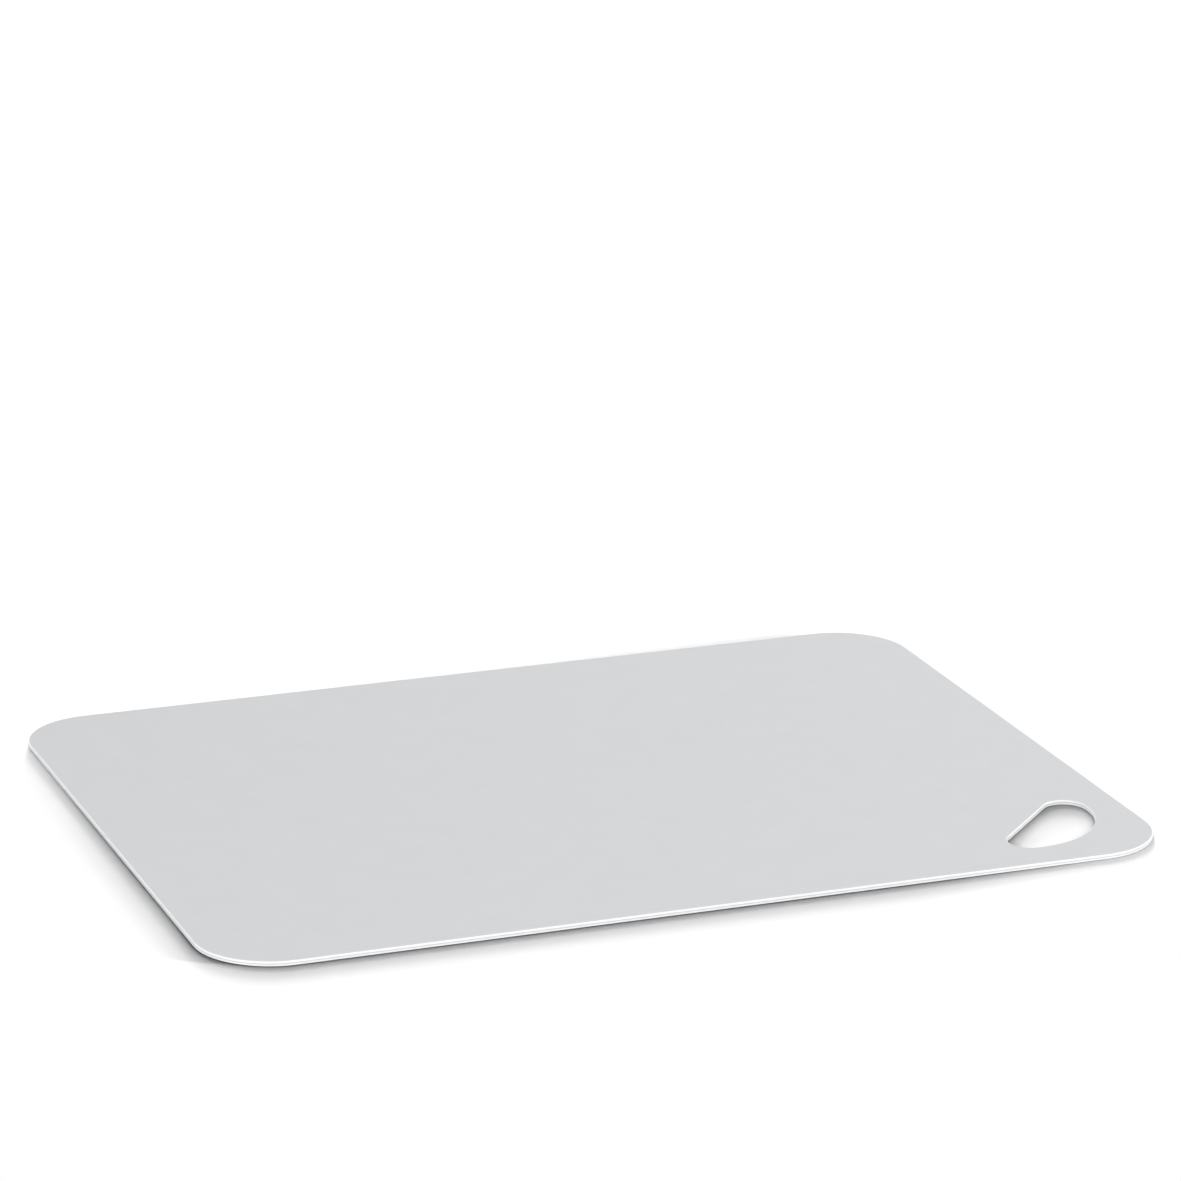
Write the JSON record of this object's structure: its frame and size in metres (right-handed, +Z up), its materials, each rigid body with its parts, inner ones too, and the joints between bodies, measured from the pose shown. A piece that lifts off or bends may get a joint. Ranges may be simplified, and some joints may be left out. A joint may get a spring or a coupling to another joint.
{
  "type": "flexible cutting mat",
  "caption": "Thin flexible chopping sheet with round corners, rounded rims and a D-shaped finger and hanging hole in a corner. It curls up along its long sides into a chute.",
  "frame": {"origin": "middle of the underside, which lies on the table", "axes": "+X along the long side, +Y from the front edge, which has the hole at its right end, to the back edge, +Z up out of the cutting face"},
  "size_m": [0.38, 0.29, 0.0018],
  "materials": {
    "sheet": "matte"
  },
  "bodies": {
    "centre_strip": {"centre_strip": "sheet"},
    "front_flex_strip_1": {"front_flex_strip_1": "sheet"},
    "front_flex_strip_2": {"front_flex_strip_2": "sheet"},
    "front_flex_strip_3": {"front_flex_strip_3": "sheet"},
    "front_flex_strip_4": {"front_flex_strip_4": "sheet"},
    "front_flex_strip_5": {"front_flex_strip_5": "sheet"},
    "front_flex_strip_6": {"front_flex_strip_6": "sheet"},
    "front_flex_strip_7": {"front_flex_strip_7": "sheet"},
    "front_grip_edge": {"front_grip_edge": "sheet"},
    "back_flex_strip_1": {"back_flex_strip_1": "sheet"},
    "back_flex_strip_2": {"back_flex_strip_2": "sheet"},
    "back_flex_strip_3": {"back_flex_strip_3": "sheet"},
    "back_flex_strip_4": {"back_flex_strip_4": "sheet"},
    "back_flex_strip_5": {"back_flex_strip_5": "sheet"},
    "back_flex_strip_6": {"back_flex_strip_6": "sheet"},
    "back_flex_strip_7": {"back_flex_strip_7": "sheet"},
    "back_grip_edge": {"back_grip_edge": "sheet"}
  },
  "joints": [
    {"name": "front_bend_1", "type": "hinge", "parent": "centre_strip", "child": "front_flex_strip_1", "pos_m": [0, -0.005, 0.0009], "axis": [-1, 0, 0], "range_deg": [0, 9], "stiffness_Nm_per_rad": 2.4},
    {"name": "front_bend_2", "type": "hinge", "parent": "front_flex_strip_1", "child": "front_flex_strip_2", "pos_m": [0, -0.015, 0.0009], "axis": [-1, 0, 0], "range_deg": [0, 9], "stiffness_Nm_per_rad": 2.4},
    {"name": "front_bend_3", "type": "hinge", "parent": "front_flex_strip_2", "child": "front_flex_strip_3", "pos_m": [0, -0.025, 0.0009], "axis": [-1, 0, 0], "range_deg": [0, 9], "stiffness_Nm_per_rad": 2.4},
    {"name": "front_bend_4", "type": "hinge", "parent": "front_flex_strip_3", "child": "front_flex_strip_4", "pos_m": [0, -0.035, 0.0009], "axis": [-1, 0, 0], "range_deg": [0, 9], "stiffness_Nm_per_rad": 2.4},
    {"name": "front_bend_5", "type": "hinge", "parent": "front_flex_strip_4", "child": "front_flex_strip_5", "pos_m": [0, -0.045, 0.0009], "axis": [-1, 0, 0], "range_deg": [0, 9], "stiffness_Nm_per_rad": 2.4},
    {"name": "front_bend_6", "type": "hinge", "parent": "front_flex_strip_5", "child": "front_flex_strip_6", "pos_m": [0, -0.055, 0.0009], "axis": [-1, 0, 0], "range_deg": [0, 9], "stiffness_Nm_per_rad": 2.4},
    {"name": "front_bend_7", "type": "hinge", "parent": "front_flex_strip_6", "child": "front_flex_strip_7", "pos_m": [0, -0.065, 0.0009], "axis": [-1, 0, 0], "range_deg": [0, 9], "stiffness_Nm_per_rad": 2.4},
    {"name": "front_bend_8", "type": "hinge", "parent": "front_flex_strip_7", "child": "front_grip_edge", "pos_m": [0, -0.075, 0.0009], "axis": [-1, 0, 0], "range_deg": [0, 9], "stiffness_Nm_per_rad": 2.4},
    {"name": "back_bend_1", "type": "hinge", "parent": "centre_strip", "child": "back_flex_strip_1", "pos_m": [0, 0.005, 0.0009], "axis": [1, 0, 0], "range_deg": [0, 9], "stiffness_Nm_per_rad": 2.4},
    {"name": "back_bend_2", "type": "hinge", "parent": "back_flex_strip_1", "child": "back_flex_strip_2", "pos_m": [0, 0.015, 0.0009], "axis": [1, 0, 0], "range_deg": [0, 9], "stiffness_Nm_per_rad": 2.4},
    {"name": "back_bend_3", "type": "hinge", "parent": "back_flex_strip_2", "child": "back_flex_strip_3", "pos_m": [0, 0.025, 0.0009], "axis": [1, 0, 0], "range_deg": [0, 9], "stiffness_Nm_per_rad": 2.4},
    {"name": "back_bend_4", "type": "hinge", "parent": "back_flex_strip_3", "child": "back_flex_strip_4", "pos_m": [0, 0.035, 0.0009], "axis": [1, 0, 0], "range_deg": [0, 9], "stiffness_Nm_per_rad": 2.4},
    {"name": "back_bend_5", "type": "hinge", "parent": "back_flex_strip_4", "child": "back_flex_strip_5", "pos_m": [0, 0.045, 0.0009], "axis": [1, 0, 0], "range_deg": [0, 9], "stiffness_Nm_per_rad": 2.4},
    {"name": "back_bend_6", "type": "hinge", "parent": "back_flex_strip_5", "child": "back_flex_strip_6", "pos_m": [0, 0.055, 0.0009], "axis": [1, 0, 0], "range_deg": [0, 9], "stiffness_Nm_per_rad": 2.4},
    {"name": "back_bend_7", "type": "hinge", "parent": "back_flex_strip_6", "child": "back_flex_strip_7", "pos_m": [0, 0.065, 0.0009], "axis": [1, 0, 0], "range_deg": [0, 9], "stiffness_Nm_per_rad": 2.4},
    {"name": "back_bend_8", "type": "hinge", "parent": "back_flex_strip_7", "child": "back_grip_edge", "pos_m": [0, 0.075, 0.0009], "axis": [1, 0, 0], "range_deg": [0, 9], "stiffness_Nm_per_rad": 2.4}
  ],
  "couplings": [
    {"joint": "front_bend_2", "follows": "front_bend_1", "ratio": 1},
    {"joint": "front_bend_3", "follows": "front_bend_1", "ratio": 1},
    {"joint": "front_bend_4", "follows": "front_bend_1", "ratio": 1},
    {"joint": "front_bend_5", "follows": "front_bend_1", "ratio": 1},
    {"joint": "front_bend_6", "follows": "front_bend_1", "ratio": 1},
    {"joint": "front_bend_7", "follows": "front_bend_1", "ratio": 1},
    {"joint": "front_bend_8", "follows": "front_bend_1", "ratio": 1},
    {"joint": "back_bend_2", "follows": "back_bend_1", "ratio": 1},
    {"joint": "back_bend_3", "follows": "back_bend_1", "ratio": 1},
    {"joint": "back_bend_4", "follows": "back_bend_1", "ratio": 1},
    {"joint": "back_bend_5", "follows": "back_bend_1", "ratio": 1},
    {"joint": "back_bend_6", "follows": "back_bend_1", "ratio": 1},
    {"joint": "back_bend_7", "follows": "back_bend_1", "ratio": 1},
    {"joint": "back_bend_8", "follows": "back_bend_1", "ratio": 1}
  ]
}
